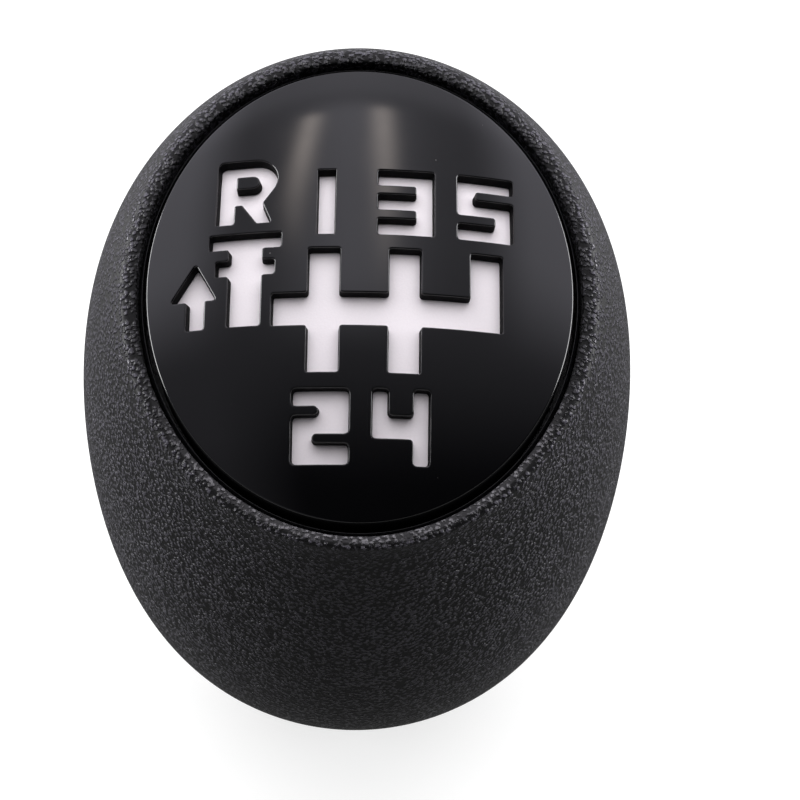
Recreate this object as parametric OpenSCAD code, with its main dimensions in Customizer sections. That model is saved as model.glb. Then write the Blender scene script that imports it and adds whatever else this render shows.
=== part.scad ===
// Gear shift knob with a five-speed and reverse pattern and a sprung collar that is lifted for reverse.
// Millimetres. X goes across, -Y faces the driver, +Z is up along the gear lever.
// The origin is on the lever's axis at the collar's lower end, where the knob stands.

/* [Grip] */
// Height of the centre of the face above the grip's base
face_height = 55; // [54:0.5:62]
// Distance of the face's centre in front of the lever's axis
face_forward = 9.6; // [7:0.2:11]
// Tilt of the face towards the driver, in degrees
face_tilt = 17.5; // [14:0.5:21]
// Sideways offset of the face from the middle of the grip
face_shift = 0.4; // [0:0.1:1]
// Width of the oval opening in the face
opening_w = 37.2; // [35:0.2:39]
// Length of the oval opening along the tilted face
opening_l = 42.6; // [40:0.2:45]
// Width of the flat lip round the opening
lip_land = 1.2; // [0.8:0.1:2]
// Diameter of the grip at its base
base_d = 34; // [33:0.5:38]
// Pull of the flanks outward under the lip, as a half width
flank_top = 27.6; // [25:0.1:30]
// Pull of the flanks outward above the base, as a half width
flank_low = 29.5; // [27:0.1:32]
// How far the front pulls in under the lip
front_top_in = 3.6; // [1:0.1:5]
// How far the front drops under the lip
front_top_drop = 5.6; // [3:0.1:8]
// How far the front swells out above the base
front_low_out = 17.6; // [14:0.1:20]
// Rise of the front's swell above the base
front_low_rise = 0.6; // [0.4:0.1:4]
// How far the back swells out under the lip
rear_top_out = 18.3; // [15:0.1:21]
// Drop of the back's swell under the lip
rear_top_drop = 12.9; // [10:0.1:16]
// How far the back swells out above the base
rear_low_out = 8.3; // [6:0.1:11]
// Rise of the back's swell above the base
rear_low_rise = 11.1; // [8:0.1:14]
// Thickness of the grained cover
cover_wall = 1.5; // [1.2:0.1:2.2]

/* [Face] */
// Depth of the oval recess from the lip to the core
recess_depth = 4.2; // [3.9:0.1:5.5]
// Groove between the lip and the edge of the disc, at the sides
groove_w = 0.8; // [0.6:0.05:1.2]
// Groove between the lip and the edge of the disc, at the front and the back
groove_end = 0.95; // [0.7:0.05:1.2]
// Height of the disc's edge above the lip
disc_edge_rise = 0.2; // [-0.4:0.1:0.5]
// Height of the disc's domed top above its edge
dome_rise = 3.7; // [2.5:0.1:4.5]
// Thickness of the disc over the legend plate, which is the depth of its windows
disc_wall = 1; // [0.8:0.1:1.6]
// Thickness of the disc's skirt round the legend plate
disc_skirt = 1.1; // [0.8:0.1:1.6]
// Thickness of the bonding pad
pad_t = 0.5; // [0.3:0.05:0.8]
// Thickness of the bezel ring in the groove
bezel_t = 0.35; // [0.25:0.05:0.5]
// Depth of the bezel ring's top below the lip
bezel_drop = 0.7; // [0.5:0.1:1.4]

/* [Legend] */
// Width of the strokes of the figures
stroke = 1.5; // [1.3:0.05:1.7]
// Width of the figures 2 to 5
figure_w = 4.7; // [4.4:0.05:5]
// Height of the figures and the letter
figure_h = 6.15; // [5.8:0.05:6.4]
// Width of the slots that the figures are drawn with
slot_w = 0.74; // [0.6:0.02:1]
// Width of the upright bars of the shift gate
gate_stroke = 2.66; // [2.2:0.02:2.8]
// Thickness of the cross bar of the shift gate
gate_bar = 2.75; // [2.4:0.05:3.2]

/* [Lever socket] */
// Diameter of the gear lever
lever_d = 12; // [10:0.5:13]
// Core left between the face's seat and the ring that keeps the metal insert in place
crown_wall = 1.08; // [0.9:0.02:3]
// Wall of the metal insert
socket_wall = 2.2; // [1.8:0.1:2.4]
// Closed end of the metal insert
socket_end = 1.8; // [1.2:0.1:2]
// Wall of the rubber sleeve round the insert
damper_wall = 1.8; // [1.4:0.1:2]
// Wall of the core's hub round the rubber sleeve
hub_wall = 2.6; // [2:0.1:3]
// Thickness of the ring that keeps the insert in the core
clip_t = 1; // [0.8:0.1:1.2]

/* [Lift collar] */
// Gap between the collar's foot and the grip's base
collar_drop = 15; // [13:0.5:17]
// Travel of the collar when it is lifted
lift_travel = 8; // [5:0.5:8]
// Diameter of the finger flange
flange_d = 26; // [24:0.5:28]
// Thickness of the finger flange
flange_t = 4.5; // [3.5:0.5:5]
// Height of the flange's hub, with the flange
flange_hub_h = 6.4; // [5.5:0.1:6.5]
// Wall of the sliding sleeve
sleeve_wall = 1.6; // [1.4:0.1:1.8]
// Radial gap between the lever and the sleeve
lever_gap = 0.6; // [0.4:0.1:0.7]
// Thickness of the base cap
cap_t = 2.5; // [2:0.1:3]
// Length of the sleeve's bearing
bush_l = 5; // [4:0.5:6]
// Wall of the sleeve's bearing
bush_wall = 1.3; // [1.2:0.1:1.6]
// Thickness of the soft washer under the stop ring
buffer_t = 0.8; // [0.6:0.1:1]
// Thickness of the stop ring
stop_t = 1.2; // [0.8:0.1:1.4]
// Wall of the guide tube
guide_wall = 1; // [0.8:0.1:1.2]
// Thickness of the washer above the spring
seat_t = 1.2; // [0.8:0.1:1.4]
// Diameter of the spring's wire
wire_d = 1; // [0.8:0.05:1.1]
// Turns of the spring
spring_turns = 4; // [3:1:4]

/* [Hidden] */

// Clearances
bond_gap = 0.1;
seat_gap = 0.05;
run_gap = 0.05;
slide_gap = 0.3;
rest_gap = 0.1;

// Resolution: sides of the grip's rings, rings down its outside and inside, and sides of ovals and arcs
ring_sides = 72;
outer_rings = 24;
inner_rings = 12;
oval_sides = 96;
dome_sides = 128;
flange_sides = 128;
edge_sides = 48;
arc_steps = 8;
$fn = 64;
// Cuts run past the faces they open by this much
over = 1;

// The face: its centre, its direction towards the back and its normal, in the middle plane
face_c = [-face_forward, collar_drop + face_height];
face_v = [cos(face_tilt), sin(face_tilt)];
face_n = [-sin(face_tilt), cos(face_tilt)];
opening_a = opening_w / 2;
opening_b = opening_l / 2;
base_r = base_d / 2;
base_z = collar_drop;

function bezier(p, t) =
    pow(1 - t, 3) * p[0] + 3 * pow(1 - t, 2) * t * p[1] + 3 * (1 - t) * t * t * p[2] + pow(t, 3) * p[3];
function bezier_slope(p, t) =
    pow(1 - t, 2) * (p[1] - p[0]) + 2 * (1 - t) * t * (p[2] - p[1]) + t * t * (p[3] - p[2]);

// Middle-plane outlines of the grip, from the lip to the base: [y, z] at the front and at the back
lip_b = opening_b + lip_land;
lip_front = face_c - lip_b * face_v;
lip_rear = face_c + lip_b * face_v;
base_front = [-base_r, base_z];
base_rear = [base_r, base_z];
front = [
    lip_front,
    lip_front + [front_top_in, -front_top_drop],
    base_front + [-front_low_out, front_low_rise],
    base_front
];
rear = [
    lip_rear,
    lip_rear + [rear_top_out, -rear_top_drop],
    base_rear + [rear_low_out, rear_low_rise],
    base_rear
];
flank = [opening_a + lip_land, flank_top, flank_low, base_r];

// A ring is [half width, front point, back point, sideways offset]
function outer_ring(t) = [bezier(flank, t), bezier(front, t), bezier(rear, t), face_shift * pow(1 - t, 2)];
function unit(v) = v / norm(v);
function turned(v) = [-v[1], v[0]];
function inner_ring(t, depth) = [
    bezier(flank, t) - depth,
    bezier(front, t) + depth * turned(unit(bezier_slope(front, t))),
    bezier(rear, t) - depth * turned(unit(bezier_slope(rear, t))),
    face_shift * pow(1 - t, 2)
];
function face_ring(a, b, n) = [a, face_c + n * face_n - b * face_v, face_c + n * face_n + b * face_v, face_shift];
function base_ring(r, z) = [r, [-r, z], [r, z], 0];
function ring_point(ring, angle) = [
    ring[3] + ring[0] * cos(angle),
    (ring[1][0] + ring[2][0]) / 2 + (ring[2][0] - ring[1][0]) / 2 * sin(angle),
    (ring[1][1] + ring[2][1]) / 2 + (ring[2][1] - ring[1][1]) / 2 * sin(angle)
];
function ring_points(rings) = [
    for (ring = rings) for (i = [0 : ring_sides - 1]) ring_point(ring, 360 * i / ring_sides)
];
function side(i, j, n) = (i % n) * ring_sides + j % ring_sides;
function band_faces(first, last, n) = [
    for (i = [first : last]) for (j = [0 : ring_sides - 1]) each [
        [side(i, j, n), side(i, j + 1, n), side(i + 1, j + 1, n)],
        [side(i, j, n), side(i + 1, j + 1, n), side(i + 1, j, n)]
    ]
];

// Closed tube of rings, for a shell that is open at both ends
module ring_shell(rings) {
    polyhedron(ring_points(rings), band_faces(0, len(rings) - 1, len(rings)));
}

// Stack of rings with flat ends, from the top to the bottom
module ring_solid(rings) {
    n = len(rings);
    polyhedron(
        ring_points(rings),
        concat(
            band_faces(0, n - 2, n),
            [[for (j = [ring_sides - 1 : -1 : 0]) j]],
            [[for (j = [0 : ring_sides - 1]) (n - 1) * ring_sides + j]]
        )
    );
}

// Where the inside of the cover leaves the recess and where it ends above the base cap
inner_start = 0.3;
inner_end = 0.9;
function inside_rings(depth) = [
    for (i = [0 : inner_rings]) inner_ring(inner_start + (inner_end - inner_start) * i / inner_rings, depth)
];

// Small steps round the lever's axis: hub above the clip, sleeve above the stop ring, depths of the two
// grooves, gap in the split rings and wall of the flange's hub
hub_lip = 1.2;
sleeve_rim = 1;
clip_groove = 0.7;
stop_groove = 0.6;
ring_split = 3;
flange_hub_wall = 2;

// Radii round the lever's axis
lever_r = lever_d / 2;
sleeve_in = lever_r + lever_gap;
sleeve_out = sleeve_in + sleeve_wall;
bush_in = sleeve_out + run_gap;
bush_out = bush_in + bush_wall;
guide_in = bush_out;
guide_out = guide_in + guide_wall;
guide_bore = guide_out + seat_gap;
stop_in = sleeve_out - stop_groove;
stop_out = guide_in - slide_gap;
socket_out = lever_r + socket_wall;
damper_out = socket_out + damper_wall;
hub_bore = damper_out + seat_gap;
hub_r = guide_bore + hub_wall;
clip_out = hub_bore + clip_groove;
wire_mid = (sleeve_in + sleeve_out) / 2;
cap_r = base_r - cover_wall - bond_gap;

// Heights along the lever's axis, from the base up to the washer above the spring
cap_top = base_z + cap_t;
bush_top = base_z + bush_l;
buffer_top = bush_top + buffer_t;
stop_z = buffer_top + rest_gap;
sleeve_top = stop_z + stop_t + sleeve_rim;
spring_top = sleeve_top + lift_travel + (spring_turns + 1) * wire_d;
seat_top = spring_top + seat_t;

// Heights from the face down. The insert hangs under the face, and its bore takes the room that is left
function seat_floor(y) = face_c[1] + (y - face_c[0]) * tan(face_tilt) - recess_depth / cos(face_tilt);
clip_z = seat_floor(-clip_out) - crown_wall - clip_t;
socket_top = clip_z - seat_gap;
socket_depth = socket_top - socket_end - seat_top;
hub_top = clip_z + clip_t + hub_lip;

// Screws of the base cap
screw_count = 3;
screw_ring = (guide_out + cap_r) / 2;
screw_shank = 0.95;
screw_hole = 1.2;
screw_head = 1.75;
screw_head_h = 1.2;
screw_l = 9;
drive_r = 0.8;
drive_depth = 0.7;

// Pockets between the hub, the ribs and the wall of the core
pocket_depth = 22;
pocket_rim = 3;
rib_t = 1.8;
rib_count = 4;

// The face's pieces: the disc's oval, the plate under it and the pad under the plate
disc_a = opening_a - groove_w;
disc_b = opening_b - groove_end;
pad_top = pad_t - recess_depth;
plate_a = disc_a - disc_skirt - seat_gap;
plate_b = disc_b - disc_skirt - seat_gap;
dome_r = (disc_a * disc_a + dome_rise * dome_rise) / (2 * dome_rise);
dome_top = disc_edge_rise + dome_rise;

// Turn of the pattern on the disc, in degrees
legend_turn = -1;

// Lower left corners of the figures and the letter, from the middle of the face
place_r = [-12.05, 4.5];
place_1 = [-3.63, 3.27];
place_3 = [1.38, 3.27];
place_5 = [8, 3.25];
place_2 = [-5.35, -15.87];
place_4 = [1.15, -15.85];

// The figures of the lower row are lower by this much
row_step = 0.17;
// Figure 2: heights of its two slots, and how far they reach in, as shares of the figure
two_upper = 0.686;
two_upper_reach = 0.462;
two_lower = 0.329;
two_lower_reach = 0.636;
// Figure 4: height of its cross bar as a share of the figure, the bar's thickness in strokes and its
// uprights' width in strokes
four_low = 0.335;
four_bar = 1.2;
four_side = 0.9;
// Letter R: its width, its bowl, the notch under it, the foot of its leg and the counter in the bowl
letter_w = 5.05;
bowl_r = 1.9;
notch_share = 0.291;
notch_w = 0.65;
leg_foot = 1.22;
leg_edge = 0.4;
leg_root = 1.2;
leg_rise = 0.1;
letter_corner = 0.5;
counter_r = 0.6;
counter_drop = 0.3;
counter_inset = 0.1;

// Centre lines of the gate's uprights, and the ends of its bars
gate_x = [-2.93, 3.7, 10.41];
gate_top = 2;
gate_foot = -8.58;
gate_low = -4.7;
gate_left = -7.17;

// Pictogram of the lever and its collar as [x, y, width, height], and the arrow beside it
lever_bars = [
    [-10.82, -4.61, 2.75, 7.5],
    [-12.5, 2.19, 6, 1.37],
    [-11.9, -0.2, 4.9, 1.34]
];
arrow_shaft = [-14.22, -4.64, stroke, 3];
arrow_head = [[-13.57, 1.1], [-15.6, -2.17], [-11.72, -2.17]];

// Drawing on the face, raised from low to high over the lip
module on_face(low, high) {
    translate([face_shift, face_c[0], face_c[1]])
        rotate([face_tilt, 0, 0])
            translate([0, 0, low])
                linear_extrude(high - low)
                    children();
}

// Oval prism along the face's normal
module oval(a, b, low, high) {
    on_face(low, high)
        polygon([
            for (i = [0 : oval_sides - 1])
                [a * cos(360 * i / oval_sides), b * sin(360 * i / oval_sides)]
        ]);
}

// Ball, drawn out to the disc's oval, whose top is the dome of the face. It is inset by the given depth
module dome(inset) {
    translate([face_shift, face_c[0], face_c[1]])
        rotate([face_tilt, 0, 0])
            translate([0, 0, dome_top - dome_r])
                scale([1, disc_b / disc_a, 1])
                    sphere(r = dome_r - inset, $fn = dome_sides);
}

module tube(inner, outer, low, high) {
    translate([0, 0, low])
        difference() {
            cylinder(r = outer, h = high - low);
            translate([0, 0, -over])
                cylinder(r = inner, h = high - low + 2 * over);
        }
}

// Skin with the lip, the wall of the recess and the foot that holds the base cap
module grip_cover() {
    rings = concat(
        [face_ring(opening_a, opening_b, -recess_depth), face_ring(opening_a, opening_b, 0)],
        [for (i = [0 : outer_rings]) outer_ring(i / outer_rings)],
        [base_ring(base_r - cover_wall, base_z), base_ring(base_r - cover_wall, cap_top + bond_gap)],
        [for (i = [inner_rings : -1 : 0]) inside_rings(cover_wall)[i]]
    );
    color("#2a2a2d")
        ring_shell(rings);
}

// Rigid moulding: hub for the socket and the collar's guide, ribs and a flat seat for the face
module knob_core() {
    skin = cover_wall + bond_gap;
    rings = concat(
        [face_ring(opening_a - bond_gap, opening_b - bond_gap, -recess_depth)],
        inside_rings(skin),
        [base_ring(base_r - skin, cap_top + bond_gap)]
    );
    color("#3a3a3e")
        difference() {
            ring_solid(rings);
            core_pockets();
            translate([0, 0, base_z])
                cylinder(r = guide_bore, h = seat_top - base_z);
            translate([0, 0, base_z])
                cylinder(r = hub_bore, h = hub_top + over - base_z);
            translate([0, 0, clip_z])
                cylinder(r = clip_out + seat_gap, h = clip_t + seat_gap);
            screw_places()
                translate([0, 0, base_z])
                    cylinder(r = screw_shank, h = screw_l + over);
        }
}

// Pockets between the hub, the ribs and the wall, open towards the face
module core_pockets() {
    difference() {
        oval(opening_a - pocket_rim, opening_b - pocket_rim, -pocket_depth, over - recess_depth);
        translate([0, 0, base_z])
            cylinder(r = hub_r, h = hub_top - base_z);
        for (i = [0 : rib_count - 1])
            rotate([0, 0, 45 + 360 * i / rib_count])
                translate([0, -rib_t / 2, base_z])
                    cube([opening_l, rib_t, face_height]);
    }
}

module screw_places() {
    for (i = [0 : screw_count - 1])
        rotate([0, 0, 90 + 360 * i / screw_count])
            translate([screw_ring, 0, 0])
                children();
}

// Figures and pictograms, in millimetres on the face, each from its lower left corner
module bar(x, y, w, h) {
    translate([x, y])
        square([w, h]);
}

// Slot with a round end, along x from the open side at x = 0
module slot(length) {
    r = slot_w / 2;
    translate([-over, -r])
        square([length - r + over, slot_w]);
    translate([length - r, 0])
        circle(r = r);
}

function arc(x, y, r, from, to) = [
    for (i = [0 : arc_steps]) let (a = from + (to - from) * i / arc_steps) [x + r * cos(a), y + r * sin(a)]
];

module figure_1() {
    bar(0, 0, stroke, figure_h);
}

// Figures 3 and 5 are blocks with two bars cut out between the strokes
rise = (figure_h - stroke) / 2;
module figure_3() {
    difference() {
        square([figure_w, figure_h]);
        for (y = [stroke, rise + stroke])
            bar(-over, y, figure_w - stroke + over, rise - stroke);
    }
}

module figure_5() {
    difference() {
        square([figure_w, figure_h]);
        bar(-over, stroke, figure_w - stroke + over, rise - stroke);
        bar(stroke, rise + stroke, figure_w, rise - stroke);
    }
}

module figure_2() {
    difference() {
        square([figure_w, figure_h - row_step]);
        translate([0, figure_h * two_upper])
            slot(figure_w * two_upper_reach);
        translate([figure_w, figure_h * two_lower])
            mirror([1, 0])
                slot(figure_w * two_lower_reach);
    }
}

module figure_4() {
    h = figure_h - row_step;
    low = figure_h * four_low;
    upright = stroke * four_side;
    bar(0, low, upright, h - low);
    bar(0, low, figure_w, stroke * four_bar);
    bar(figure_w - upright, 0, upright, h);
}

// The bowl's counter stays as an island on the legend plate
module letter_r() {
    bowl_y = figure_h - bowl_r;
    notch_y = figure_h * notch_share;
    counter_y = bowl_y - counter_drop;
    counter_x = letter_w - stroke - counter_r;
    counter_left = stroke + counter_inset;
    difference() {
        polygon(concat(
            [[0, 0], [stroke, 0], [stroke, notch_y], [stroke + notch_w, notch_y]],
            [[letter_w - leg_edge - leg_foot, 0], [letter_w - leg_edge, 0]],
            [[letter_w - leg_root, notch_y + leg_rise]],
            arc(letter_w - bowl_r, bowl_y, bowl_r, -40, 90),
            arc(letter_corner, figure_h - letter_corner, letter_corner, 90, 180)
        ));
        bar(counter_left, counter_y - counter_r, counter_x - counter_left, 2 * counter_r);
        translate([counter_x, counter_y])
            circle(r = counter_r);
    }
}

module gate() {
    half = gate_stroke / 2;
    bar(gate_left, gate_low, gate_x[2] + half - gate_left, gate_bar);
    for (i = [0, 1])
        bar(gate_x[i] - half, gate_foot, gate_stroke, gate_top - gate_foot);
    bar(gate_x[2] - half, gate_low, gate_stroke, gate_top - gate_low);
}

module lift_pictogram() {
    for (b = concat(lever_bars, [arrow_shaft]))
        bar(b[0], b[1], b[2], b[3]);
    polygon(arrow_head);
}

module at(place) {
    translate(place)
        children();
}

module legend() {
    rotate(legend_turn) {
        at(place_r) letter_r();
        at(place_1) figure_1();
        at(place_3) figure_3();
        at(place_5) figure_5();
        at(place_2) figure_2();
        at(place_4) figure_4();
        gate();
        lift_pictogram();
    }
}

// Domed cap with the windows of the shift pattern
module face_disc() {
    color("#0c0c0e")
        difference() {
            intersection() {
                oval(disc_a, disc_b, pad_top + seat_gap, dome_top + over);
                dome(0);
            }
            intersection() {
                oval(disc_a - disc_skirt, disc_b - disc_skirt, -recess_depth, dome_top + over);
                dome(disc_wall);
            }
            on_face(-recess_depth, dome_top + over)
                legend();
        }
}

module legend_plate() {
    color("#e6e2e6")
        intersection() {
            oval(plate_a, plate_b, pad_top, dome_top + over);
            dome(disc_wall + bond_gap);
        }
}

module adhesive_pad() {
    color("#c8c8c0")
        oval(plate_a, plate_b, -recess_depth, pad_top);
}

// Thin ring against the wall of the recess
module bezel_ring() {
    a = opening_a - bond_gap;
    b = opening_b - bond_gap;
    color("#202024")
        difference() {
            oval(a, b, -recess_depth, -bezel_drop);
            oval(a - bezel_t, b - bezel_t, -recess_depth - over, over);
        }
}

// Metal insert that is pushed onto the lever
module lever_socket() {
    color("#b8babf")
        difference() {
            translate([0, 0, seat_top])
                cylinder(r = socket_out, h = socket_top - seat_top);
            translate([0, 0, seat_top - over])
                cylinder(r = lever_r, h = socket_depth + over);
        }
}

module damper_bush() {
    color("#1c1c1e")
        tube(socket_out, damper_out, seat_top, socket_top);
}

// Split spring ring in the groove above the insert
module socket_clip() {
    color("#8c8f94")
        difference() {
            tube(lever_r, clip_out, clip_z, clip_z + clip_t);
            translate([-ring_split / 2, 0, clip_z - over])
                cube([ring_split, clip_out + over, clip_t + 2 * over]);
        }
}

module base_cap() {
    color("#2e2e32")
        difference() {
            tube(bush_out, cap_r, base_z, cap_top);
            screw_places()
                translate([0, 0, base_z - over])
                    cylinder(r = screw_hole, h = cap_t + 2 * over);
            screw_places()
                translate([0, 0, base_z - over])
                    cylinder(r = screw_head + slide_gap, h = screw_head_h + over);
        }
}

module base_screws() {
    color("#9a9ca0")
        screw_places()
            difference() {
                union() {
                    translate([0, 0, base_z])
                        cylinder(r = screw_head, h = screw_head_h);
                    translate([0, 0, base_z])
                        cylinder(r = screw_shank, h = screw_l);
                }
                translate([0, 0, base_z - over])
                    cylinder(r = drive_r, h = drive_depth + over, $fn = 6);
            }
}

module guide_tube() {
    color("#a8aab0")
        tube(guide_in, guide_out, cap_top, spring_top);
}

module sleeve_bush() {
    color("#d8d4c4")
        tube(bush_in, bush_out, base_z, bush_top);
}

module stop_buffer() {
    color("#303030")
        tube(sleeve_out + slide_gap, guide_in, bush_top, buffer_top);
}

module spring_seat() {
    color("#9a9ca0")
        tube(sleeve_in, guide_out, spring_top, seat_top);
}

module lift_sleeve() {
    color("#b0b2b8")
        difference() {
            tube(sleeve_in, sleeve_out, 0, sleeve_top);
            tube(stop_in, sleeve_out + over, stop_z - seat_gap, stop_z + stop_t + seat_gap);
        }
}

// Finger flange on the sleeve's lower end, with a round edge
module lift_ring() {
    edge = flange_t / 2;
    edge_r = flange_d / 2 - edge;
    color("#2a2a2d")
        rotate_extrude($fn = flange_sides)
            difference() {
                union() {
                    translate([edge_r, edge])
                        circle(r = edge, $fn = edge_sides);
                    square([edge_r, flange_t]);
                    square([sleeve_out + flange_hub_wall, flange_hub_h]);
                }
                translate([-over, -over])
                    square([sleeve_out + over, flange_hub_h + 2 * over]);
            }
}

module stop_ring() {
    color("#8c8f94")
        difference() {
            tube(stop_in, stop_out, stop_z, stop_z + stop_t);
            translate([-ring_split / 2, 0, stop_z - over])
                cube([ring_split, stop_out + over, stop_t + 2 * over]);
        }
}

// Coil spring with closed ends between the sleeve and its seat
spring_low = sleeve_top + seat_gap;
spring_high = spring_top - seat_gap;
wire_sides = 8;
turn_steps = 20;
end_turn = 0.75;
module lift_spring() {
    r = wire_d / 2;
    turns = spring_turns + 2 * end_turn;
    steps = ceil(turns * turn_steps);
    span = spring_high - spring_low - wire_d;
    lift = span - 2 * end_turn * wire_d;
    function level(turn) =
        turn < end_turn ? turn * wire_d :
        turn > turns - end_turn ? span - (turns - turn) * wire_d :
        end_turn * wire_d + lift * (turn - end_turn) / spring_turns;
    function wire_point(step, k) =
        let (turn = turns * step / steps, a = 360 * turn, w = 360 * k / wire_sides)
        [
            (wire_mid + r * cos(w)) * cos(a),
            (wire_mid + r * cos(w)) * sin(a),
            spring_low + r + level(turn) + r * sin(w)
        ];
    points = [for (step = [0 : steps]) for (k = [0 : wire_sides - 1]) wire_point(step, k)];
    sides = [
        for (step = [0 : steps - 1]) for (k = [0 : wire_sides - 1])
            let (a = step * wire_sides + k, b = step * wire_sides + (k + 1) % wire_sides)
            each [[a, a + wire_sides, b + wire_sides], [a, b + wire_sides, b]]
    ];
    ends = [
        [for (k = [0 : wire_sides - 1]) k],
        [for (k = [wire_sides - 1 : -1 : 0]) steps * wire_sides + k]
    ];
    color("#c4c6ca")
        polyhedron(points, concat(sides, ends));
}

grip_cover();
knob_core();
face_disc();
legend_plate();
bezel_ring();
adhesive_pad();
lever_socket();
damper_bush();
socket_clip();
base_cap();
base_screws();
guide_tube();
sleeve_bush();
stop_buffer();
spring_seat();
lift_sleeve();
lift_ring();
stop_ring();
lift_spring();
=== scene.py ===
import math

import bpy
import numpy as np
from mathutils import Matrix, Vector
from mathutils.geometry import delaunay_2d_cdt
from mathutils.kdtree import KDTree


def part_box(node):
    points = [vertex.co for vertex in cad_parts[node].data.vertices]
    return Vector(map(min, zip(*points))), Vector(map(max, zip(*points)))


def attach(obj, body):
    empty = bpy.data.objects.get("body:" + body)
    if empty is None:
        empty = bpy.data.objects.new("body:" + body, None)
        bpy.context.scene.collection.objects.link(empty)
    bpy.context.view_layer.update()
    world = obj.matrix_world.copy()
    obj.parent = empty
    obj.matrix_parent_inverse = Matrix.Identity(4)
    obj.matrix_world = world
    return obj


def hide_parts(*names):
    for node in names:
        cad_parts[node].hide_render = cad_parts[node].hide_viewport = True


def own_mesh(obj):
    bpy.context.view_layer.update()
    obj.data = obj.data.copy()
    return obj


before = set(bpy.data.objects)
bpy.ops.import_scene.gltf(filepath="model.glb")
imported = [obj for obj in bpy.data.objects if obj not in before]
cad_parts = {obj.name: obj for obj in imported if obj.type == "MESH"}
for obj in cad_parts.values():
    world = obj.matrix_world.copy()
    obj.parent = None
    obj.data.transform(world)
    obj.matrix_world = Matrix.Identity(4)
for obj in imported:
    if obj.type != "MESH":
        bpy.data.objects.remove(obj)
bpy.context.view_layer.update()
MM = 0.001

# ---------------------------------------------------------------- sizes, as in the construction

FACE_TILT = math.radians(17.5)
FACE_C = np.array([0.4, -9.6, 70.0])
FACE_U = np.array([1.0, 0.0, 0.0])
FACE_V = np.array([0.0, math.cos(FACE_TILT), math.sin(FACE_TILT)])
FACE_N = np.array([0.0, -math.sin(FACE_TILT), math.cos(FACE_TILT)])
OPEN_A, OPEN_B, LAND = 18.6, 21.3, 1.2
BASE_R, BASE_Z, COVER_WALL, CAP_TOP = 17.0, 15.0, 1.5, 17.5
RECESS = 4.2
DISC_A, DISC_B = 17.8, 20.35
DISC_WALL, DISC_SKIRT, DISC_LOW = 1.0, 1.1, -3.65
EDGE_RISE, DOME_RISE = 0.2, 3.7
DOME_R = (DISC_A**2 + DOME_RISE**2) / (2 * DOME_RISE)
DOME_K = DISC_B / DISC_A


def on_face(u, v, n):
    """Points on the face: u to the right, v up the slope, n over the lip."""
    u, v, n = (np.asarray(x, float)[..., None] for x in (u, v, n))
    return FACE_C + u * FACE_U + v * FACE_V + n * FACE_N


def dome(u, v, inset=0.0):
    """Height of the domed top of the disc, or of its underside."""
    r = DOME_R - inset
    fall = np.sqrt(r * r - np.asarray(u) ** 2 - (np.asarray(v) / DOME_K) ** 2) - DOME_R
    return fall + DOME_RISE + EDGE_RISE


def dome_normal(u, v):
    """Directions square to the domed top."""
    n = np.stack([u, v / DOME_K**2, np.sqrt(DOME_R**2 - u**2 - (v / DOME_K) ** 2)], -1)
    n = n / np.linalg.norm(n, axis=-1, keepdims=True)
    return n[:, :1] * FACE_U + n[:, 1:2] * FACE_V + n[:, 2:] * FACE_N


# ---------------------------------------------------------------- mesh helpers


def mesh_piece(name, points, faces, body, node):
    """A smooth piece that rides on a body and takes the place of a CAD node."""
    mesh = bpy.data.meshes.new(name)
    mesh.from_pydata((np.asarray(points) * MM).tolist(), [], faces)
    mesh.update()
    mesh.shade_smooth()
    piece = bpy.data.objects.new(name, mesh)
    bpy.context.collection.objects.link(piece)
    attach(piece, body)
    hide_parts(node)
    return piece


def welded(points, faces, near=0.001):
    """The same mesh, with points that lie on each other made one."""
    tree = KDTree(len(points))
    for i, p in enumerate(points):
        tree.insert(p, i)
    tree.balance()
    first = np.array([min(found[1] for found in tree.find_range(p, near)) for p in points])
    kept, number = np.unique(first, return_inverse=True)
    number = number.ravel().tolist()
    return points[kept], [tuple(number[i] for i in f) for f in faces]


def tube_faces(rings, sides):
    """Quads of a closed tube of rings, with the rings one after another."""
    faces = []
    for i in range(rings):
        a, b = i * sides, (i + 1) % rings * sides
        for j in range(sides):
            k = (j + 1) % sides
            faces.append((a + j, b + j, b + k, a + k))
    return faces


def corner(start, middle, end, steps):
    """Round edge between two rings, pulled towards the ring at the corner."""
    rings = []
    for s in np.linspace(0, 1, steps):
        rings.append((1 - s) ** 2 * start + 2 * s * (1 - s) * middle + s * s * end)
    return rings


# ---------------------------------------------------------------- grip

SIDES = 360
TURN = np.linspace(0, 2 * np.pi, SIDES, endpoint=False)
COS, SIN = np.cos(TURN), np.sin(TURN)
LIP_B = OPEN_B + LAND
# The smooth skin is drawn in by this much, so that it stays inside the faceted solid.
TRIM = 0.015
FRONT = FACE_C[1:] - LIP_B * FACE_V[1:]
REAR = FACE_C[1:] + LIP_B * FACE_V[1:]
# Control points of the outline from the lip to the base: (y, z) in front and behind, and the half width.
FRONT_LINE = [
    FRONT,
    FRONT + [3.6, -5.6],
    np.array([-BASE_R - 17.6, BASE_Z + 0.6]),
    np.array([-BASE_R, BASE_Z]),
]
REAR_LINE = [
    REAR,
    REAR + [18.3, -12.9],
    np.array([BASE_R + 8.3, BASE_Z + 11.1]),
    np.array([BASE_R, BASE_Z]),
]
FLANK_LINE = [OPEN_A + LAND, 27.6, 29.5, BASE_R]


def bezier(line, t):
    t = np.asarray(t, float)
    weights = ((1 - t) ** 3, 3 * (1 - t) ** 2 * t, 3 * (1 - t) * t * t, t**3)
    return sum(np.multiply.outer(w, np.asarray(p, float)) for w, p in zip(weights, line))


def slope(line, t):
    """Direction of a bezier curve, of any length."""
    t = np.asarray(t, float)
    p = [np.asarray(x, float) for x in line]
    parts = ((1 - t) ** 2, 2 * (1 - t) * t, t * t)
    return sum(np.multiply.outer(w, p[i + 1] - p[i]) for i, w in enumerate(parts))


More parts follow.
